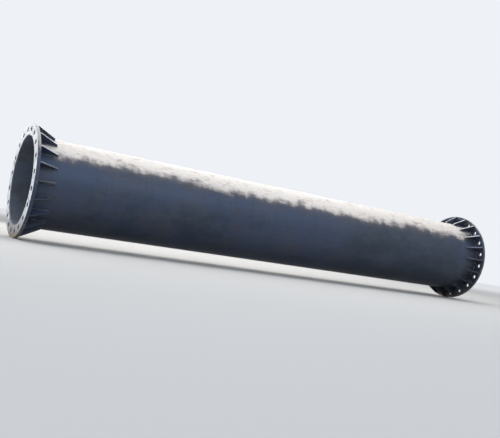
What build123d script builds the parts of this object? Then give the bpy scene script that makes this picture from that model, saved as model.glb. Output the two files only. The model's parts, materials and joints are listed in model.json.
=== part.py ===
from build123d import *
import math
import os

# One bolted section of a tubular steel power pole, lying along +X.
# The origin is the middle of the base flange's outer face, and +Z is up.
# Angles round the pole are counted from the top towards -Y.

# Tube
section_length = 6000.0
tube_outer_diameter = 900.0
tube_wall = 10.0

# End flanges
flange_ring_width = 120.0
flange_thickness = 32.0
flange_fit_clearance = 0.4
tube_end_recess = 9.0

# Bolt circle
bolt_count = 20
bolt_rim_distance = 61.0
bolt_hole_diameter = 50.0

# Gusset plates
gusset_thickness = 14.0
gusset_length = 190.0
gusset_rim_setback = 9.0
gusset_heel = 16.0
gusset_nose = 24.0
gusset_snipe = 24.0

# Butt weld along the tube
seam_root_gap = 3.0
seam_bevel_angle = 30.0
seam_crown_height = 2.5
seam_end_gap = 5.0
seam_hole_count = 13

# Butt welds that close each flange ring, bevelled from both faces
ring_weld_root = 3.0
ring_weld_face = 14.0
ring_weld_gusset = 7

# Fillet welds between tube and flange
back_weld_leg = 12.0
bore_weld_setback = 2.0
bore_weld_lip = 1.5

# Sizes that follow
tube_outer_radius = tube_outer_diameter / 2
tube_inner_radius = tube_outer_radius - tube_wall
flange_outer_radius = tube_outer_radius + flange_ring_width
flange_bore_radius = tube_outer_radius + flange_fit_clearance
bolt_circle_radius = flange_outer_radius - bolt_rim_distance
bolt_pitch = 360 / bolt_count
tube_length = section_length - 2 * tube_end_recess
seam_root_half = seam_root_gap / 2
seam_slope = math.tan(math.radians(seam_bevel_angle))
seam_face_half = seam_root_half + tube_wall * seam_slope


def turned(profile):
    """A solid of revolution about the pole's axis, from a profile in X and radius."""
    return revolve(Plane.XZ * profile, axis=Axis.X, revolution_arc=360)


def swung(piece, angle):
    """A piece made at the top of the pole, swung round its axis."""
    return Rot(angle, 0, 0) * piece


def far_copy(piece):
    """The mirror image of a base-end piece at the top end."""
    return mirror(piece, about=Plane.YZ.offset(section_length / 2))


def hole_angle(number):
    """Bolt holes stand midway between gussets, the first of which is at the top."""
    return (number - 0.5) * bolt_pitch


def gusset_angle(number):
    return (number - 1) * bolt_pitch


def tube_blank():
    """The tube closed all round, before its seam is opened."""
    ring = Circle(tube_outer_radius) - Circle(tube_inner_radius)
    return extrude(Plane.YZ.offset(tube_end_recess) * ring, tube_length)


def seam_groove():
    """The bevelled gap along the top of the tube, where the rolled plate's edges meet."""
    low = -seam_root_half
    high = tube_wall + seam_crown_height
    low_half = seam_root_half + low * seam_slope
    high_half = seam_root_half + high * seam_slope
    outline = Polyline(
        (-low_half, tube_inner_radius + low),
        (low_half, tube_inner_radius + low),
        (high_half, tube_inner_radius + high),
        (-high_half, tube_inner_radius + high),
        close=True,
    )
    section = Plane.YZ.offset(tube_end_recess) * make_face(outline)
    return extrude(section, tube_length)


def seam_crown():
    """The low hump of weld metal outside the seam, held short of the flanges' welds."""
    start = flange_thickness + back_weld_leg + seam_end_gap
    hump_radius = (seam_face_half**2 + seam_crown_height**2) / (2 * seam_crown_height)
    hump_centre = tube_outer_radius + seam_crown_height - hump_radius
    section = Pos(0, hump_centre) * Circle(hump_radius) - Circle(tube_outer_radius)
    return extrude(Plane.YZ.offset(start) * section, section_length - 2 * start)


def tube():
    """Its seam is in line with a bolt hole, counted from the top, so it clears the gussets."""
    return swung(tube_blank() - seam_groove(), hole_angle(seam_hole_count))


def seam_weld():
    groove_metal = tube_blank() & seam_groove()
    return swung(groove_metal + seam_crown(), hole_angle(seam_hole_count))


def flange_blank():
    """The whole ring with its bolt holes, before it is divided at its welds."""
    section = Plane.YZ * (Circle(flange_outer_radius) - Circle(flange_bore_radius))
    ring = extrude(section, flange_thickness)
    hole_section = Plane.YZ * Pos(0, bolt_circle_radius) * Circle(bolt_hole_diameter / 2)
    hole = extrude(hole_section, flange_thickness)
    holes = [swung(hole, hole_angle(number)) for number in range(1, bolt_count + 1)]
    return ring - holes


def ring_weld_angles():
    """Each weld lies midway between a gusset's side and the edge of the next hole."""
    half_pitch_arc = math.radians(bolt_pitch / 2) * bolt_circle_radius
    shift_arc = (gusset_thickness / 2 + half_pitch_arc - bolt_hole_diameter / 2) / 2
    first = gusset_angle(ring_weld_gusset) + math.degrees(shift_arc / bolt_circle_radius)
    return first, first + bolt_count // 2 * bolt_pitch


def ring_weld_groove():
    """The double-bevelled gap between two ends of the ring, at the top."""
    middle = flange_thickness / 2
    outline = Polyline(
        (0, -ring_weld_face / 2),
        (middle, -ring_weld_root / 2),
        (flange_thickness, -ring_weld_face / 2),
        (flange_thickness, ring_weld_face / 2),
        (middle, ring_weld_root / 2),
        (0, ring_weld_face / 2),
        close=True,
    )
    section = Plane.XY.offset(tube_outer_radius) * make_face(outline)
    return extrude(section, flange_outer_radius)


def flange_pieces():
    """The upper and lower half of the ring, and the two welds between them."""
    blank = flange_blank()
    grooves = [swung(ring_weld_groove(), angle) for angle in ring_weld_angles()]
    halves = (blank - grooves).solids().sort_by(Axis.Z)
    welds = [solid for groove in grooves for solid in (blank & groove).solids()]
    return halves[1], halves[0], Compound(children=welds)


def gusset():
    """A tapered plate on the flange's back and the tube, its inner corner cut off."""
    rim = flange_outer_radius - gusset_rim_setback
    below_foot = tube_outer_radius - gusset_thickness
    outline = Polyline(
        (flange_thickness, tube_outer_radius + gusset_snipe),
        (flange_thickness, rim),
        (flange_thickness + gusset_heel, rim),
        (flange_thickness + gusset_length, tube_outer_radius + gusset_nose),
        (flange_thickness + gusset_length, below_foot),
        (flange_thickness + gusset_snipe, below_foot),
        (flange_thickness + gusset_snipe, tube_outer_radius),
        close=True,
    )
    plate = extrude(Plane.XZ * make_face(outline), gusset_thickness / 2, both=True)
    tube_body = Plane.YZ * Circle(tube_outer_radius)
    return plate - extrude(tube_body, flange_thickness + gusset_length)


def back_weld():
    """The ring of weld between the tube and the flange's back."""
    corner = (flange_thickness, tube_outer_radius)
    along_tube = (flange_thickness + back_weld_leg, tube_outer_radius)
    up_flange = (flange_thickness, tube_outer_radius + back_weld_leg)
    section = make_face(Polyline(corner, along_tube, up_flange, close=True))
    return turned(section)


def bore_weld():
    """The ring of weld over the tube's recessed end, inside the flange's bore."""
    corner = (tube_end_recess, flange_bore_radius)
    over_tube_end = (tube_end_recess, tube_inner_radius + bore_weld_lip)
    up_bore = (bore_weld_setback, flange_bore_radius)
    section = make_face(Polyline(corner, over_tube_end, up_bore, close=True))
    return turned(section)


def base_end():
    """Every piece of the base end, by its name without the end's own name."""
    upper, lower, ring_welds = flange_pieces()
    pieces = {
        "flange_upper": upper,
        "flange_lower": lower,
        "flange_welds": ring_welds,
        "back_weld": back_weld(),
        "bore_weld": bore_weld(),
    }
    plate = gusset()
    for number in range(1, bolt_count + 1):
        pieces[f"gusset_{number:02d}"] = swung(plate, gusset_angle(number))
    return pieces


nodes = {"tube": tube(), "seam_weld": seam_weld()}
for name, piece in base_end().items():
    nodes[f"base_{name}"] = piece
    nodes[f"top_{name}"] = far_copy(piece)

os.makedirs("parts", exist_ok=True)
for name, piece in nodes.items():
    export_step(piece, f"parts/{name}.step")
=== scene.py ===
import json
import math
import random

import bmesh
import bpy
from mathutils import Matrix, Vector


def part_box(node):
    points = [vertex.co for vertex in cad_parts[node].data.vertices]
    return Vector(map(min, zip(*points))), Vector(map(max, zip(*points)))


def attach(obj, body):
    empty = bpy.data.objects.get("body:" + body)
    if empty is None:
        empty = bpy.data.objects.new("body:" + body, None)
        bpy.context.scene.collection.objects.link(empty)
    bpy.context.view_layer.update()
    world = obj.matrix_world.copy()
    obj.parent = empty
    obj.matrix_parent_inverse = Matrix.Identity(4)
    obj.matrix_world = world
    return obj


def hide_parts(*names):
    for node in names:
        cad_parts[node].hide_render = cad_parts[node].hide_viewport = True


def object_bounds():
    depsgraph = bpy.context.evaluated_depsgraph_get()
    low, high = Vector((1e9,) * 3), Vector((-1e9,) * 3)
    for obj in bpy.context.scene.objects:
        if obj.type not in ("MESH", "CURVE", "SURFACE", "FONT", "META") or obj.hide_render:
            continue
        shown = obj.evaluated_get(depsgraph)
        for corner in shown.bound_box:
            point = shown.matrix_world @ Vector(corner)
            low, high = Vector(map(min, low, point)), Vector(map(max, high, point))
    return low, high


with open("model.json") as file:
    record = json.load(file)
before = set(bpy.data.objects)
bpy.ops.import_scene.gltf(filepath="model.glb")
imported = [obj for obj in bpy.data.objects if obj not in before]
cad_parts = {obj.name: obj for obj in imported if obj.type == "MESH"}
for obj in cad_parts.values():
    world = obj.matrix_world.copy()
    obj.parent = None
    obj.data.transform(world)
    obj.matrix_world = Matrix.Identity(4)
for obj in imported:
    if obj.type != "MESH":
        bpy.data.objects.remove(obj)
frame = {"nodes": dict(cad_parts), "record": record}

cad_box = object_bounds()

# One bolted section of a tubular steel power pole, lying along +X from its base end.
# Angles round the pole are counted from the top towards -Y.


def radii(node):
    """The least and greatest distance of a node's surface from the pole's axis."""
    reach = [math.hypot(v.co.y, v.co.z) for v in frame["nodes"][node].data.vertices]
    return min(reach), max(reach)


def seam_place(bore, outside):
    """The seam's angle round the pole, and half its weld's width at the bore and outside."""
    low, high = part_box("seam_weld")
    centre = (low + high) / 2
    angle = math.atan2(-centre.y, centre.z)
    back = Matrix.Rotation(-angle, 4, "X")
    points = [back @ v.co for v in frame["nodes"]["seam_weld"].data.vertices]
    wall_middle = (bore + outside) / 2
    root_half = max(abs(point.y) for point in points if point.z < wall_middle)
    return angle, root_half, max(abs(point.y) for point in points)


# Sizes read from the frame, in metres. The record's own are in millimetres.
MILLIMETRE = 0.001
mounts = {mount["name"]: mount for mount in frame["record"]["mounts"]}
bolts = mounts["base_bolts"]["dims"]
BOLT_COUNT = bolts["count"]
BOLT_RADIUS = bolts["pcd_mm"] / 2 * MILLIMETRE
HOLE_RADIUS = bolts["hole_r_mm"] * MILLIMETRE
PITCH = 2 * math.pi / BOLT_COUNT
LENGTH = cad_box[1].x
MIDDLE = LENGTH / 2
TUBE_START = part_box("tube")[0].x
TUBE_BORE, TUBE_RADIUS = radii("tube")
FLANGE_BORE, FLANGE_RADIUS = radii("base_flange_upper")
FLANGE_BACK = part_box("base_flange_upper")[1].x
BACK_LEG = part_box("base_back_weld")[1].x - FLANGE_BACK
BORE_START, BORE_END = (corner.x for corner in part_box("base_bore_weld"))
BORE_LEG = FLANGE_BORE - radii("base_bore_weld")[0]
GUSSET_END, GUSSET_SIDE, GUSSET_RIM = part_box("base_gusset_01")[1]
SEAM_CROWN = radii("seam_weld")[1] - TUBE_RADIUS
SEAM_ANGLE, SEAM_ROOT_HALF, SEAM_FACE_HALF = seam_place(TUBE_BORE, TUBE_RADIUS)
FLOOR_LEVEL = -FLANGE_RADIUS

# Directions
ALONG = Vector((1, 0, 0))
UP = Vector((0, 0, 1))
NEAR_SIDE = Vector((0, -1, 0))

# Ring welds, in X and radius: each one's corner, the directions of its two sides, and its legs
BACK_CORNER = FLANGE_BACK, TUBE_RADIUS
BACK_SIDES = (0, 1), (1, 0)
BACK_LEGS = BACK_LEG, BACK_LEG
BORE_CORNER = BORE_END, FLANGE_BORE
BORE_SIDES = (0, -1), (-1, 0)
BORE_LEGS = BORE_LEG, BORE_END - BORE_START

# Weld beads, in metres. A bead drifts in two waves: radians a metre, and their share of its seed.
RIPPLE_PITCH = 0.0065
RIPPLE_SAMPLES = 5
RIPPLE_STEP = RIPPLE_PITCH / RIPPLE_SAMPLES
RIPPLE_HEIGHT = 0.0006
RIPPLE_SKEW = 1.6
FILLET_LAG = 0.5
FILLET_STEPS = 4
BEAD_SINK = 0.0008
BEAD_ARCH = 0.10
BEAD_DRIFT = 0.10
SLOW_WAVE = 31, 1.0
QUICK_WAVE = 83, 2.3
BACK_SEED = 1.0
BORE_SEED = 4.0
SEAM_LAG = 0.6
SEAM_STEPS = 6
SEAM_END_GAP = 0.005
SEAM_END_RAMP = 0.008

# Beads round the gussets, in metres. They start just past each plate's cut corner.
GUSSET_LEG = 0.007
GUSSET_LEGS = GUSSET_LEG, GUSSET_LEG
GUSSET_BEAD_START = 0.026
GUSSET_SEED_STEP = 1.9
NOSE_STEPS = 6

# Weld spatter, in metres
SPATTER_COUNT = 160
SPATTER_REACH = 0.09
SPATTER_LIMIT = 4 * SPATTER_REACH
SPATTER_SIZE = 0.0010, 0.0026
SPATTER_FLATNESS = 0.6
SPATTER_SEED = 7

# Worn plate edges, in metres
EDGE_WIDTH = 0.0015
EDGE_SEGMENTS = 2
EDGE_ANGLE = math.radians(35)
MERGE_DISTANCE = 0.00001

# Colours, linear
SCALE_DARK = (0.016, 0.021, 0.030)
SCALE_BLUE = (0.032, 0.041, 0.071)
SCALE_GREY = (0.041, 0.044, 0.060)
SCALE_BROWN = (0.030, 0.025, 0.024)
SCALE_FLAKE = (0.075, 0.088, 0.115)
SCALE_TINT = (0.600, 0.760, 1.000)
RUST_DARK = (0.060, 0.027, 0.014)
RUST_LIGHT = (0.160, 0.075, 0.035)
BORE_GREY = (0.098, 0.118, 0.156)
BORE_BROWN = (0.086, 0.090, 0.100)
# Dust on the top of the pole, lightened into a painted highlight, and the lighter stained fringe
# below it, which is painted highlight too
DUST_HIGHLIGHT = (0.570, 0.525, 0.475)
DUST_HIGHLIGHT_PINK = (0.370, 0.295, 0.265)
STAINED_HIGHLIGHT_EDGE = (0.100, 0.078, 0.072)
SOIL = (0.190, 0.140, 0.095)
SOIL_FILM = (0.125, 0.112, 0.104)
# Gusset cut edges: painted shade low down and painted highlight high up; the light one is also the
# bare steel of a rubbed flange rim
CUT_EDGE_SHADE = (0.042, 0.050, 0.064)
BARE_STEEL_AND_HIGHLIGHT = (0.640, 0.650, 0.665)
FACE_PALE = (0.640, 0.655, 0.690)
FACE_GREY = (0.330, 0.345, 0.375)
FACE_SMUDGE = (0.080, 0.078, 0.080)
WORN_EDGE = (0.760, 0.770, 0.790)
HEAT_BROWN = (0.052, 0.040, 0.036)
WELD_GREY = (0.110, 0.108, 0.106)
FLOOR_PALE = (0.850, 0.846, 0.838)
FLOOR_SHADE = (0.430, 0.427, 0.420)
FLOOR_LIT = (0.350, 0.347, 0.341)
WHITE = (1, 1, 1)

# Roughness, from 0 to 1: a pair runs between its two values with the surface's mottle or rust
SCALE_ROUGH = 0.36, 0.52
FACE_ROUGH = 0.35, 0.6
WELD_ROUGH = 0.45, 0.85
RUST_ROUGH = 0.88
CHALK_ROUGH = 0.6
SOIL_ROUGH = 0.95
BORE_ROUGH = 0.8
CUT_ROUGH = 0.45
FLOOR_ROUGH = 0.9
FLOOR_GLOSS = 0.1

# Depth of each surface's relief, in metres
SCALE_DEPTH = 0.0006
FACE_DEPTH = 0.0004
WELD_DEPTH = 0.0003
FLOOR_DEPTH = 0.0002

# Where looks change, in metres: each pair is the start and the end of the change
SKY_HEIGHTS = -0.10, 0.10
# Heights where the gussets' cut edges go from painted shade to painted highlight
CUT_LIGHT_HEIGHTS = 0.20, 0.44
FILM_HEIGHTS = -0.12, 0.06
SOIL_HEIGHTS = 0.0, 0.06
HEAT_REACH = 0.05, 0.14
HOLE_WEAR = 0.005, 0.010
TUBE_SKIN = TUBE_RADIUS - 0.003, TUBE_RADIUS - 0.002
FLANGE_RIM = FLANGE_RADIUS - 0.003, FLANGE_RADIUS - 0.0005
FLANGE_SEAT = FLANGE_BORE, FLANGE_BORE + 0.002
FLANGE_FACE = MIDDLE - FLANGE_BACK / 2, MIDDLE - FLANGE_BACK / 2 + 0.002
# Painted shade: the reach along the tube, near each flange, where the gussets' shadow holds back
# the dust and highlight
GUSSET_SHADE_REACH = MIDDLE - 1.3 * GUSSET_END, MIDDLE - FLANGE_BACK
FLOOR_BEHIND = -1.5, 0.5
FLOOR_AWAY = 4.0, 24.0

# Directions of the scratches on the flanges' outer faces, in radians
SCRATCH_TURNS = 0.5, 1.7, 2.6

# Studio, in metres
FLOOR_GAP = 0.0005
FLOOR_REACH = 60
FLOOR_CELLS = 8
SKY_COLOR = (0.93, 0.96, 1.0)
SKY_GLOW = 0.92
WARM_LIGHT = (1.0, 0.98, 0.95)
PALE_LIGHT = (1.0, 0.99, 0.97)
BLUE_LIGHT = (0.62, 0.77, 1.0)
CAMERA_PLACE = Vector((-1.38, -6.87, FLOOR_LEVEL + 0.30))
CAMERA_TARGET = Vector((2.62, 0, 0.02))
CAMERA_ROLL = math.radians(9.0)
CAMERA_LENS = 49
CAMERA_SENSOR = 36


# Shapes of the welds


def top_turned(angle):
    """Turns a place at the top of the pole round its axis, towards -Y."""
    return Matrix.Rotation(angle, 4, "X")


def drift(distance, seed):
    """A slow wander, as a welder's hand gives."""
    waves = (math.sin(distance * wave + seed * share) for wave, share in (SLOW_WAVE, QUICK_WAVE))
    return BEAD_DRIFT * sum(waves) / 2


def ripple(distance, lag):
    """The height of a bead's ripples from 0 to 1: each swells slowly and ends fast."""
    phase = (distance / RIPPLE_PITCH - lag) % 1.0
    return (1 - math.cos(2 * math.pi * phase**RIPPLE_SKEW)) / 2


def shares(steps):
    """How far each point lies across a bead, from 0 to 1, and its height on an arch 1 high."""
    for step in range(steps + 1):
        share = step / steps
        yield share, 4 * share * (1 - share)


def fillet_row(corner, first, second, legs, distance, seed):
    """One section of a fillet bead in the corner between two surfaces."""
    outward = (first + second).normalized()
    reach = [leg * (1 + drift(distance, seed + number)) for number, leg in enumerate(legs)]
    row = [corner - outward * BEAD_SINK]
    for share, arch in shares(FILLET_STEPS):
        lift = arch * (min(legs) * BEAD_ARCH + RIPPLE_HEIGHT * ripple(distance, FILLET_LAG * arch))
        edge = first * reach[0] * (1 - share) + second * reach[1] * share
        row.append(corner + edge + outward * lift)
    return row


def seam_row(root, across, outward, crown, distance):
    """One section of the seam's weld: its root at the bore, its crown outside the tube."""
    row = [root - across * SEAM_ROOT_HALF, root + across * SEAM_ROOT_HALF]
    top = root + outward * (TUBE_RADIUS - TUBE_BORE)
    for share, arch in shares(SEAM_STEPS):
        lift = crown * arch * (SEAM_CROWN - RIPPLE_HEIGHT * ripple(distance, SEAM_LAG * arch))
        row.append(top + across * SEAM_FACE_HALF * (1 - 2 * share) + outward * lift)
    return row


def skin(mesh, rows, closed):
    """Joins sections into one skin, its ends capped unless it closes on itself."""
    made = [[mesh.verts.new(point) for point in row] for row in rows]
    pairs = list(zip(made, made[1:] + made[:1]))
    for low, high in pairs if closed else pairs[:-1]:
        for start in range(len(low)):
            end = (start + 1) % len(low)
            mesh.faces.new((low[start], low[end], high[end], high[start]))
    if not closed:
        mesh.faces.new(made[0])
        mesh.faces.new(made[-1])


def add_piece(mesh, name, stands_for=None):
    """Makes a mesh of weld metal one piece of the pole."""
    bmesh.ops.recalc_face_normals(mesh, faces=mesh.faces)
    for face in mesh.faces:
        face.smooth = True
    data = bpy.data.meshes.new(name)
    mesh.to_mesh(data)
    mesh.free()
    piece = bpy.data.objects.new(name, data)
    bpy.context.scene.collection.objects.link(piece)
    piece.data.materials.append(materials["weld_metal"])
    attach(piece, "root")
    if stands_for:
        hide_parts(stands_for)


def at_end(end, point):
    """A place at the base end, or its mirror image at the top end."""
    return point if end == "base" else Vector((LENGTH - point.x, point.y, point.z))


def add_ring_fillet(end, name, corner, sides, legs, seed):
    """A fillet bead all the way round, from its lowest point."""
    x, radius = corner
    count = round(2 * math.pi * radius / RIPPLE_PITCH) * RIPPLE_SAMPLES
    rows = []
    for step in range(count):
        angle = 2 * math.pi * step / count
        turn = top_turned(angle + math.pi)
        first, second = (turn @ Vector((along, 0, outward)) for along, outward in sides)
        spot = turn @ Vector((x, 0, radius))
        row = fillet_row(spot, first, second, legs, angle * radius, seed)
        rows.append([at_end(end, point) for point in row])
    mesh = bmesh.new()
    skin(mesh, rows, True)
    add_piece(mesh, f"{end}_{name}_bead", f"{end}_{name}_weld")


def add_seam_bead():
    """The seam's weld, its crown held short of the flanges' welds."""
    turn = top_turned(SEAM_ANGLE)
    outward = turn @ UP
    across = turn @ NEAR_SIDE
    run = LENGTH - 2 * TUBE_START
    crown_start = FLANGE_BACK + BACK_LEG + SEAM_END_GAP
    count = round(run / RIPPLE_PITCH) * RIPPLE_SAMPLES
    rows = []
    for step in range(count + 1):
        x = TUBE_START + run * step / count
        inside = min(x, LENGTH - x) - crown_start
        crown = max(0.0, min(1.0, inside / SEAM_END_RAMP))
        rows.append(seam_row(outward * TUBE_BORE + ALONG * x, across, outward, crown, x))
    mesh = bmesh.new()
    skin(mesh, rows, False)
    add_piece(mesh, "seam_bead", "seam_weld")


def gusset_foot_path():
    """Corners and headings of the bead round the top gusset's foot, by way of its nose."""
    start = FLANGE_BACK + GUSSET_BEAD_START
    sideways = math.pi / 2
    count = round((GUSSET_END - start) / RIPPLE_STEP)
    side = [(start + step * RIPPLE_STEP, GUSSET_SIDE, sideways) for step in range(count)]
    for step in range(NOSE_STEPS + 1):
        side.append((GUSSET_END, GUSSET_SIDE, sideways * (1 - step / NOSE_STEPS)))
    return side + [(x, -y, -heading) for x, y, heading in reversed(side)]


def gusset_foot(seed):
    """The bead round the top gusset's foot, on the tube."""
    rows = []
    distance = 0.0
    last = None
    for x, y, heading in gusset_foot_path():
        corner = Vector((x, y, math.sqrt(TUBE_RADIUS**2 - y**2)))
        distance += (corner - last).length if last else 0.0
        last = corner
        away = Vector((math.cos(heading), math.sin(heading), 0))
        rows.append(fillet_row(corner, away, UP, GUSSET_LEGS, distance, seed))
    return rows


def gusset_climb(side, seed):
    """The bead up one side of the top gusset, on the flange's back."""
    low = TUBE_RADIUS + GUSSET_BEAD_START
    high = GUSSET_RIM - GUSSET_LEG / 2
    sideways = Vector((0, side, 0))
    rows = []
    for step in range(round((high - low) / RIPPLE_STEP)):
        climbed = step * RIPPLE_STEP
        corner = Vector((FLANGE_BACK, side * GUSSET_SIDE, low + climbed))
        rows.append(fillet_row(corner, sideways, ALONG, GUSSET_LEGS, climbed, seed + side))
    return rows


def add_gusset_beads(end):
    """The beads of all the gussets at one end, each set turned into place from the top."""
    mesh = bmesh.new()
    for number in range(1, BOLT_COUNT + 1):
        turn = top_turned((number - 1) * PITCH)
        seed = number * GUSSET_SEED_STEP
        for rows in (gusset_foot(seed), gusset_climb(-1, seed), gusset_climb(1, seed)):
            skin(mesh, [[at_end(end, turn @ point) for point in row] for row in rows], False)
    add_piece(mesh, f"{end}_gusset_beads")


def add_spatter(end, draw):
    """Droplets of weld metal on the tube, thinning out away from the flange."""
    mesh = bmesh.new()
    for _ in range(SPATTER_COUNT):
        reach = FLANGE_BACK + BACK_LEG + min(draw.expovariate(1 / SPATTER_REACH), SPATTER_LIMIT)
        turn = top_turned(draw.uniform(0, 2 * math.pi))
        size = draw.uniform(*SPATTER_SIZE)
        spot = at_end(end, turn @ Vector((reach, 0, TUBE_RADIUS)))
        droplet = Matrix.Diagonal((size, size, size * SPATTER_FLATNESS, 1))
        shape = Matrix.Translation(spot) @ turn @ droplet
        bmesh.ops.create_icosphere(mesh, subdivisions=2, radius=1.0, matrix=shape)
    add_piece(mesh, f"{end}_spatter")


def add_worn_edges(node):
    """Rounds a plate's edges a little, once its split corners are joined."""
    part = frame["nodes"][node]
    joined = part.modifiers.new("joined", "WELD")
    joined.merge_threshold = MERGE_DISTANCE
    worn = part.modifiers.new("worn_edges", "BEVEL")
    worn.width = EDGE_WIDTH
    worn.segments = EDGE_SEGMENTS
    worn.limit_method = "ANGLE"
    worn.angle_limit = EDGE_ANGLE
    worn.harden_normals = True


# Materials


class Paint:
    """A material's nodes, with short ways to make and join them."""

    def __init__(self, name):
        self.material = bpy.data.materials.new(name)
        self.material.use_nodes = True
        self.tree = self.material.node_tree
        self.tree.nodes.clear()
        output = self.node("ShaderNodeOutputMaterial")
        self.shader = self.node("ShaderNodeBsdfPrincipled")
        self.tree.links.new(self.shader.outputs[0], output.inputs["Surface"])
        self.place = self.node("ShaderNodeTexCoord").outputs["Object"]
        self.x, self.y, self.z = self.parts_of(self.place)
        facing = self.node("ShaderNodeNewGeometry").outputs["Normal"]
        self.facing_x, self.facing_y, self.facing_z = self.parts_of(facing)
        self.radius = self.distance(self.y, self.z)
        self.around = self.math("ARCTAN2", self.times(self.y, -1.0), self.z)
        self.from_middle = self.math("ABSOLUTE", self.math("SUBTRACT", self.x, MIDDLE))

    def node(self, kind, **settings):
        made = self.tree.nodes.new(kind)
        for key, value in settings.items():
            setattr(made, key, value)
        return made

    def join(self, source, target):
        """Links a socket to the target, or gives the target a plain value."""
        if isinstance(source, bpy.types.NodeSocket):
            self.tree.links.new(source, target)
        else:
            target.default_value = source

    def parts_of(self, vector):
        split = self.node("ShaderNodeSeparateXYZ")
        self.join(vector, split.inputs[0])
        return split.outputs

    def math(self, operation, *values):
        made = self.node("ShaderNodeMath", operation=operation)
        for value, socket in zip(values, made.inputs):
            self.join(value, socket)
        return made.outputs[0]

    def add(self, *values):
        total = values[0]
        for value in values[1:]:
            total = self.math("ADD", total, value)
        return total

    def times(self, *values):
        product = values[0]
        for value in values[1:]:
            product = self.math("MULTIPLY", product, value)
        return product

    def opposite(self, value):
        return self.math("SUBTRACT", 1.0, value)

    def distance(self, across, along):
        return self.math("SQRT", self.add(self.times(across, across), self.times(along, along)))

    def weighted(self, *parts):
        """The sum of values, each times its own share."""
        return self.add(*(self.times(value, share) for value, share in parts))

    def step(self, value, low, high):
        """0 up to low and 1 from high, with a smooth rise between."""
        made = self.node("ShaderNodeMapRange", interpolation_type="SMOOTHSTEP")
        self.join(value, made.inputs["Value"])
        made.inputs["From Min"].default_value = low
        made.inputs["From Max"].default_value = high
        return made.outputs["Result"]

    def turned_place(self, turn):
        """The place as it is after a turn about X."""
        made = self.node("ShaderNodeVectorRotate", rotation_type="X_AXIS")
        self.join(self.place, made.inputs["Vector"])
        made.inputs["Angle"].default_value = turn
        return made.outputs[0]

    def noise(self, scale, stretch=(1, 1, 1), detail=4.0, roughness=0.55, shift=0.0, turn=0.0):
        """Noise of that many blobs a metre, times stretch on axes that are turned about X."""
        mapping = self.node("ShaderNodeMapping")
        self.join(self.turned_place(turn) if turn else self.place, mapping.inputs["Vector"])
        mapping.inputs["Scale"].default_value = stretch
        mapping.inputs["Location"].default_value = (shift, shift, shift)
        made = self.node("ShaderNodeTexNoise")
        self.join(mapping.outputs[0], made.inputs["Vector"])
        made.inputs["Scale"].default_value = scale
        made.inputs["Detail"].default_value = detail
        made.inputs["Roughness"].default_value = roughness
        return made.outputs["Fac"]

    def blend(self, factor, under, over):
        """A colour between two colours."""
        made = self.node("ShaderNodeMix", data_type="RGBA")
        self.join(factor, made.inputs["Factor"])
        for value, name in ((under, "A"), (over, "B")):
            socket = next(s for s in made.inputs if s.name == name and s.type == "RGBA")
            self.join(value if isinstance(value, bpy.types.NodeSocket) else (*value, 1), socket)
        return next(s for s in made.outputs if s.type == "RGBA")

    def coat(self, under, over, pattern, low, high, strength):
        """A colour laid on another as the pattern goes from low to high."""
        return self.blend(self.times(self.step(pattern, low, high), strength), under, over)

    def mix(self, factor, under, over):
        """A number between two numbers."""
        made = self.node("ShaderNodeMix", data_type="FLOAT")
        self.join(factor, made.inputs["Factor"])
        self.join(under, made.inputs["A"])
        self.join(over, made.inputs["B"])
        return made.outputs["Result"]

    def finish(self, color, roughness, height, depth, tint):
        """Sets the surface: its height runs from 0 to 1 and is depth metres deep."""
        self.join(color, self.shader.inputs["Base Color"])
        self.join(roughness, self.shader.inputs["Roughness"])
        self.shader.inputs["Specular Tint"].default_value = (*tint, 1)
        bump = self.node("ShaderNodeBump")
        self.join(height, bump.inputs["Height"])
        bump.inputs["Distance"].default_value = depth
        self.join(bump.outputs[0], self.shader.inputs["Normal"])
        return self.material


def oxide(paint, rust_more=0.0):
    """Dark bluish mill scale with flakes and rust: its colour, roughness and height."""
    broad = paint.noise(0.9, stretch=(0.5, 1, 1), detail=2.0)
    hue = paint.noise(2.4, stretch=(0.6, 1, 1), detail=3.0, shift=12.4)
    mottle = paint.noise(7.0, stretch=(0.6, 1, 1), detail=8.0, roughness=0.68)
    runs = paint.noise(1.0, stretch=(34, 1.6, 1.6), detail=4.0, roughness=0.6, shift=11.0)
    grain = paint.noise(70.0, detail=7.0, roughness=0.7, shift=3.1)
    grit = paint.noise(330.0, detail=4.0, roughness=0.65, shift=9.9)

    tone = paint.weighted((broad, 0.6), (mottle, 0.4))
    scale_color = paint.blend(paint.step(hue, 0.44, 0.60), SCALE_BLUE, SCALE_GREY)
    color = paint.blend(paint.step(tone, 0.41, 0.58), SCALE_DARK, scale_color)
    color = paint.coat(color, SCALE_BROWN, mottle, low=0.52, high=0.68, strength=0.7)
    color = paint.coat(color, SCALE_DARK, runs, low=0.52, high=0.70, strength=0.35)
    flakes = paint.times(paint.step(grain, 0.55, 0.66), paint.step(mottle, 0.36, 0.60))
    color = paint.blend(paint.times(flakes, 0.5), color, SCALE_FLAKE)
    color = paint.coat(color, SCALE_FLAKE, grit, low=0.50, high=0.72, strength=0.30)
    color = paint.coat(color, SCALE_DARK, grit, low=0.50, high=0.30, strength=0.45)

    rust_level = paint.add(paint.weighted((mottle, 0.6), (grain, 0.4)), rust_more)
    rust = paint.step(rust_level, 0.58, 0.69)
    rust_color = paint.blend(paint.step(grain, 0.40, 0.62), RUST_DARK, RUST_LIGHT)
    color = paint.blend(paint.times(rust, 0.8), color, rust_color)

    roughness = paint.mix(rust, paint.mix(mottle, *SCALE_ROUGH), RUST_ROUGH)
    height = paint.weighted((grain, 0.5), (mottle, 0.3), (grit, 0.2))
    return color, roughness, height


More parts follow.
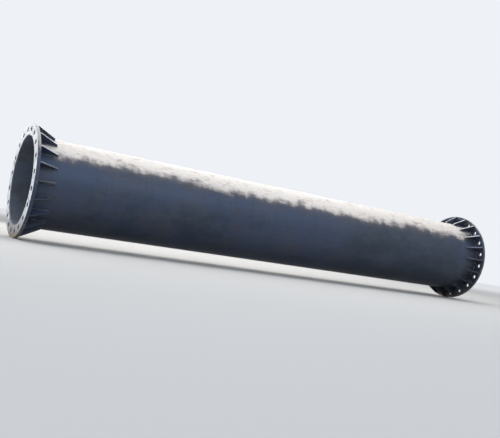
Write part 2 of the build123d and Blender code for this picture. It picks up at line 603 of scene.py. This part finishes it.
def dust_and_highlight(paint, color, roughness, strength=1.0, gusset_shade=0.0):
    """Bleached, chalky dust with a painted highlight on the top of the pole, stronger on the -Y
    side, and a stained fringe of painted highlight that runs down.

    A painted shade below 0 holds the dust and the highlight back.
    """
    runs = paint.noise(1.0, stretch=(9, 2.0, 2.0), detail=5.0, roughness=0.6, shift=7.7)
    slow = paint.noise(1.0, stretch=(1.3, 0.8, 0.8), detail=2.0, shift=4.1)
    blotch = paint.noise(10.0, stretch=(0.5, 1, 1), detail=7.0, roughness=0.7, shift=1.9)
    fine = paint.noise(34.0, stretch=(0.6, 1, 1), detail=6.0, roughness=0.7, shift=2.9)
    bare = paint.noise(2.6, stretch=(0.5, 1, 1), detail=6.0, roughness=0.65, shift=3.7)

    ragged = paint.weighted((runs, 0.30), (slow, 0.36), (blotch, 0.34))
    # Painted highlight: the band thins on faces turned to +Y, away from the near side
    far_side = paint.times(paint.step(paint.facing_y, 0.0, 0.8), -0.12)
    level = paint.add(paint.facing_z, ragged, far_side, gusset_shade, -0.50)
    # Only the upper half of each part gets the dust and the painted highlight
    open_sky = paint.step(paint.z, *SKY_HEIGHTS)
    stained_highlight_edge = paint.times(paint.step(level, 0.44, 0.62), open_sky, strength)
    color = paint.blend(paint.times(stained_highlight_edge, 0.85), color, STAINED_HIGHLIGHT_EDGE)

    patchy = paint.weighted((blotch, 0.5), (fine, 0.5))
    dust_highlight_color = paint.blend(paint.step(patchy, 0.36, 0.50), DUST_HIGHLIGHT_PINK, DUST_HIGHLIGHT)
    dust_highlight = paint.times(paint.step(level, 0.52, 0.71), paint.mix(fine, 0.7, 1.1))
    # The band thins in bare patches on slopes turned to +Y, so the painted highlight stays on the
    # near side
    far_slope = paint.step(paint.add(paint.facing_y, 0.40), 0.0, 0.6)
    far_slope_fade = paint.times(far_slope, paint.mix(bare, 0.1, 1.3))
    dust_highlight = paint.times(dust_highlight, open_sky, strength, paint.opposite(paint.times(far_slope_fade, 0.8)))
    return paint.blend(dust_highlight, color, dust_highlight_color), paint.mix(dust_highlight, roughness, CHALK_ROUGH)


def soiled(paint, color, roughness):
    """Dry soil on the lowest part, where the section has lain on the ground."""
    splash = paint.noise(22.0, detail=7.0, roughness=0.7, shift=5.3)
    height = paint.math("SUBTRACT", paint.z, FLOOR_LEVEL)
    film = paint.step(paint.weighted((splash, 0.30), (height, -1.0)), *FILM_HEIGHTS)
    color = paint.blend(paint.times(film, 0.75), color, SOIL_FILM)
    soil = paint.step(paint.weighted((splash, 0.16), (height, -1.0)), *SOIL_HEIGHTS)
    soil = paint.times(soil, 0.8)
    return paint.blend(soil, color, SOIL), paint.mix(soil, roughness, SOIL_ROUGH)


def heated(paint):
    """How strongly the seam's and the flanges' welds have heated the tube, from 0 to 1."""
    out_y = -math.sin(SEAM_ANGLE)
    out_z = math.cos(SEAM_ANGLE)
    beside_seam = paint.math("ABSOLUTE", paint.weighted((paint.y, out_z), (paint.z, -out_y)))
    outward = paint.weighted((paint.y, out_y), (paint.z, out_z))
    off_seam = paint.add(beside_seam, paint.opposite(paint.step(outward, 0.0, TUBE_BORE)))
    off_flange = paint.math("SUBTRACT", MIDDLE - FLANGE_BACK, paint.from_middle)
    nearest = paint.math("MINIMUM", off_seam, off_flange)
    ragged = paint.times(paint.noise(12.0, detail=6.0, roughness=0.7, shift=5.5), 0.10)
    return paint.opposite(paint.step(paint.add(nearest, ragged), *HEAT_REACH))


def bore(paint):
    """The dusty inside of the tube, with specks of rust: its colour."""
    dirt = paint.noise(5.0, stretch=(0.6, 1, 1), detail=7.0, roughness=0.65, shift=6.6)
    specks = paint.noise(90.0, stretch=(0.5, 1, 1), detail=8.0, roughness=0.75, shift=1.3)
    color = paint.blend(paint.step(dirt, 0.45, 0.62), BORE_GREY, BORE_BROWN)
    rust = paint.times(paint.step(specks, 0.54, 0.62), paint.step(dirt, 0.40, 0.58))
    return paint.blend(paint.times(rust, 0.6), color, RUST_DARK)


def tube_steel():
    """Mill scale, browned beside its welds, with chalky dust and a painted highlight on top, held
    back by painted gusset shade near the flanges, with a dusty inside.
    """
    paint = Paint("tube_steel")
    color, roughness, height = oxide(paint)
    lines = paint.noise(1.0, stretch=(1.2, 60, 60), detail=3.0, shift=2.3)
    color = paint.coat(color, SCALE_FLAKE, lines, low=0.60, high=0.75, strength=0.2)
    color = paint.blend(paint.times(heated(paint), 0.45), color, HEAT_BROWN)
    # Painted shade from the gussets, which thins the dust and painted highlight near each flange
    gusset_shade = paint.times(paint.step(paint.from_middle, *GUSSET_SHADE_REACH), -0.14)
    color, roughness = dust_and_highlight(paint, color, roughness, gusset_shade=gusset_shade)
    outside = paint.step(paint.radius, *TUBE_SKIN)
    color = paint.blend(outside, bore(paint), color)
    roughness = paint.mix(outside, BORE_ROUGH, roughness)
    return paint.finish(color, roughness, height, SCALE_DEPTH, SCALE_TINT)


def gusset_steel():
    """Mill scale, with cut edges given a painted highlight near the top and painted shade below.
    """
    paint = Paint("gusset_steel")
    color, roughness, height = oxide(paint, rust_more=0.02)
    side_y = paint.times(paint.math("COSINE", paint.around), paint.facing_y)
    side_z = paint.times(paint.math("SINE", paint.around), paint.facing_z)
    sideways = paint.math("ABSOLUTE", paint.add(side_y, side_z))
    cut_edge = paint.opposite(paint.step(sideways, 0.5, 0.8))
    drag = paint.noise(1.0, stretch=(30, 260, 260), detail=3.0, shift=4.4)
    # Painted highlight on the cut edges high up, painted shade low down
    edge_highlight = paint.step(paint.add(paint.z, paint.times(drag, 0.2)), *CUT_LIGHT_HEIGHTS)
    lit_cut_color = paint.blend(edge_highlight, CUT_EDGE_SHADE, BARE_STEEL_AND_HIGHLIGHT)
    color = paint.blend(paint.times(cut_edge, paint.mix(drag, 0.6, 1.0)), color, lit_cut_color)
    roughness = paint.mix(cut_edge, roughness, CUT_ROUGH)
    # Chalky dust with a painted highlight, weaker on the gussets
    color, roughness = dust_and_highlight(paint, color, roughness, strength=0.35)
    return paint.finish(color, roughness, height, SCALE_DEPTH, SCALE_TINT)


def outer_face(paint):
    """1 on the flanges' outer faces, where other sections bolt on."""
    faces_out = paint.step(paint.math("ABSOLUTE", paint.facing_x), 0.85, 0.95)
    return paint.times(faces_out, paint.step(paint.from_middle, *FLANGE_FACE))


def beyond_hole(paint):
    """Distance outward from the edge of the nearest bolt hole."""
    turns = paint.math("DIVIDE", paint.around, PITCH)
    offset = paint.times(paint.math("SUBTRACT", paint.math("FRACT", turns), 0.5), PITCH)
    across = paint.times(paint.radius, paint.math("SINE", offset))
    along = paint.times(paint.radius, paint.math("COSINE", offset))
    reach = paint.distance(across, paint.math("SUBTRACT", along, BOLT_RADIUS))
    return paint.math("SUBTRACT", reach, HOLE_RADIUS)


def machined_face(paint, mottle, grain, scuffs):
    """A flange's outer face, smudged, pitted, scratched and worn at its holes: its colour."""
    pits = paint.noise(60.0, detail=8.0, roughness=0.8, shift=4.9)
    color = paint.blend(paint.step(mottle, 0.36, 0.62), FACE_GREY, FACE_PALE)
    color = paint.coat(color, FACE_GREY, grain, low=0.50, high=0.72, strength=0.35)
    color = paint.coat(color, FACE_SMUDGE, scuffs, low=0.57, high=0.68, strength=0.7)
    pitted = paint.times(paint.step(pits, 0.585, 0.625), paint.step(mottle, 0.60, 0.42))
    color = paint.blend(paint.times(pitted, 0.75), color, FACE_SMUDGE)
    for turn in SCRATCH_TURNS:
        scratch = paint.noise(1.0, stretch=(1, 8, 300), roughness=0.7, shift=turn, turn=turn)
        color = paint.coat(color, WORN_EDGE, scratch, low=0.61, high=0.67, strength=0.3)
        color = paint.coat(color, FACE_SMUDGE, scratch, low=0.38, high=0.32, strength=0.3)
    rusty = paint.times(paint.step(scuffs, 0.57, 0.64), paint.step(pits, 0.48, 0.56))
    color = paint.blend(paint.times(rusty, 0.8), color, RUST_LIGHT)
    ragged_gap = paint.add(beyond_hole(paint), paint.times(pits, 0.008))
    worn = paint.opposite(paint.step(ragged_gap, *HOLE_WEAR))
    return paint.blend(paint.times(worn, paint.mix(mottle, 0.2, 1.0)), color, WORN_EDGE)


def flange_steel():
    """Mill scale, with bright machined outer faces, a rubbed rim, chalky dust with a painted
    highlight above and soil below.
    """
    paint = Paint("flange_steel")
    color, roughness, height = oxide(paint, rust_more=0.01)
    mottle = paint.noise(13.0, detail=7.0, roughness=0.7, shift=8.8)
    grain = paint.noise(140.0, detail=5.0, roughness=0.7, shift=6.1)
    scuffs = paint.noise(8.0, stretch=(1, 0.35, 1.4), detail=8.0, roughness=0.75, shift=0.7)
    front = outer_face(paint)
    color = paint.blend(front, color, machined_face(paint, mottle, grain, scuffs))
    roughness = paint.mix(front, roughness, paint.mix(mottle, *FACE_ROUGH))
    rim = paint.step(paint.radius, *FLANGE_RIM)
    rubbed = paint.times(rim, paint.step(scuffs, 0.52, 0.66), 0.2)
    color = paint.blend(rubbed, color, BARE_STEEL_AND_HIGHLIGHT)
    # Chalky dust with a painted highlight on the upper part
    color, roughness = dust_and_highlight(paint, color, roughness, strength=0.5)
    color, roughness = soiled(paint, color, roughness)
    height = paint.add(height, paint.times(grain, 0.5))
    return paint.finish(color, roughness, height, FACE_DEPTH, SCALE_TINT)


def weld_metal():
    """Grey beads with rust, ground flat where they cross a flange's outer face."""
    paint = Paint("weld_metal")
    mottle = paint.noise(30.0, detail=5.0, roughness=0.6, shift=2.2)
    grain = paint.noise(260.0, detail=4.0, roughness=0.6, shift=5.9)
    color = paint.blend(paint.step(mottle, 0.35, 0.65), SCALE_DARK, WELD_GREY)
    rust = paint.step(paint.weighted((mottle, 0.5), (grain, 0.5)), 0.52, 0.64)
    color = paint.blend(paint.times(rust, 0.6), color, RUST_LIGHT)
    ground = paint.times(outer_face(paint), paint.step(paint.radius, *FLANGE_SEAT))
    ground_color = paint.blend(paint.step(mottle, 0.40, 0.60), FACE_SMUDGE, FACE_GREY)
    color = paint.blend(ground, color, ground_color)
    roughness = paint.mix(rust, *WELD_ROUGH)
    # Chalky dust with a painted highlight on the upper beads
    color, roughness = dust_and_highlight(paint, color, roughness, strength=0.6)
    return paint.finish(color, roughness, grain, WELD_DEPTH, SCALE_TINT)


def floor_pale():
    """A pale floor, darker near the pole so that it doesn't glare."""
    paint = Paint("floor_pale")
    near = paint.blend(paint.step(paint.y, *FLOOR_BEHIND), FLOOR_SHADE, FLOOR_LIT)
    cloudy = paint.times(paint.noise(0.8, detail=3.0), 0.6)
    away = paint.step(paint.add(paint.distance(paint.x, paint.y), cloudy), *FLOOR_AWAY)
    color = paint.blend(away, near, FLOOR_PALE)
    paint.shader.inputs["Specular IOR Level"].default_value = FLOOR_GLOSS
    return paint.finish(color, FLOOR_ROUGH, paint.noise(60.0), FLOOR_DEPTH, WHITE)


# Floor, lights and camera


def add_floor():
    """A wide level floor under the pole."""
    grid = bmesh.new()
    bmesh.ops.create_grid(grid, x_segments=FLOOR_CELLS, y_segments=FLOOR_CELLS, size=FLOOR_REACH)
    mesh = bpy.data.meshes.new("floor")
    grid.to_mesh(mesh)
    grid.free()
    mesh.materials.append(floor_pale())
    floor = bpy.data.objects.new("floor", mesh)
    floor.location = (MIDDLE, 0, FLOOR_LEVEL - FLOOR_GAP)
    bpy.context.scene.collection.objects.link(floor)


def add_softbox(name, place, target, size, glow, color):
    """A soft rectangular light whose face glows as bright as a world of that strength."""
    data = bpy.data.lights.new(name, "AREA")
    data.shape = "RECTANGLE"
    data.size, data.size_y = size
    data.energy = glow * math.pi * size[0] * size[1]
    data.color = color
    lamp = bpy.data.objects.new(name, data)
    lamp.location = place
    lamp.rotation_euler = (Vector(target) - Vector(place)).to_track_quat("-Z", "Y").to_euler()
    bpy.context.scene.collection.objects.link(lamp)


def add_lights():
    """A pale sky, and softboxes behind, above, off the base end and in front of the pole."""
    world = bpy.data.worlds.new("studio")
    world.use_nodes = True
    background = world.node_tree.nodes["Background"]
    background.inputs["Color"].default_value = (*SKY_COLOR, 1)
    background.inputs["Strength"].default_value = SKY_GLOW
    bpy.context.scene.world = world
    add_softbox("back_softbox", place=(MIDDLE, 5.0, 2.6), target=(MIDDLE, 0, 0.3),
                size=(11, 3.6), glow=3.0, color=WARM_LIGHT)
    add_softbox("top_softbox", place=(MIDDLE, 1.2, 4.6), target=(MIDDLE, 0, 0.0),
                size=(11, 3.4), glow=2.8, color=WARM_LIGHT)
    add_softbox("end_softbox", place=(-5.0, 1.8, 1.8), target=(0, 0, 0),
                size=(3, 3), glow=4.5, color=PALE_LIGHT)
    add_softbox("front_softbox", place=(MIDDLE, -9.0, 6.0), target=(MIDDLE, 0, 0),
                size=(12, 5), glow=1.8, color=BLUE_LIGHT)


def add_camera():
    """The photo's viewpoint beside the near flange, kept just above the floor, with its roll."""
    data = bpy.data.cameras.new("camera")
    data.sensor_width = CAMERA_SENSOR
    data.lens = CAMERA_LENS
    camera = bpy.data.objects.new("camera", data)
    camera.location = CAMERA_PLACE
    aim = (CAMERA_TARGET - CAMERA_PLACE).to_track_quat("-Z", "Y").to_matrix()
    camera.rotation_euler = (aim @ Matrix.Rotation(CAMERA_ROLL, 3, "Z")).to_euler()
    bpy.context.scene.collection.objects.link(camera)
    bpy.context.scene.camera = camera


# The record's slots and their materials
materials = {
    "tube_steel": tube_steel(),
    "gusset_steel": gusset_steel(),
    "flange_steel": flange_steel(),
    "weld_metal": weld_metal(),
}
for subpart in frame["record"]["subparts"]:
    part = frame["nodes"][subpart["node"]]
    part.data.materials.clear()
    part.data.materials.append(materials[subpart["material_slot"]])

# Beads and spatter
ends = ("base", "top")
for end in ends:
    add_ring_fillet(end, "back", BACK_CORNER, BACK_SIDES, BACK_LEGS, BACK_SEED)
    add_ring_fillet(end, "bore", BORE_CORNER, BORE_SIDES, BORE_LEGS, BORE_SEED)
    add_gusset_beads(end)
add_seam_bead()
draw = random.Random(SPATTER_SEED)
for end in ends:
    add_spatter(end, draw)

# Plate edges
for node in frame["nodes"]:
    if "gusset" in node or "flange" in node:
        add_worn_edges(node)

# Studio
add_floor()
add_lights()
add_camera()
bpy.context.scene.view_settings.view_transform = "Standard"
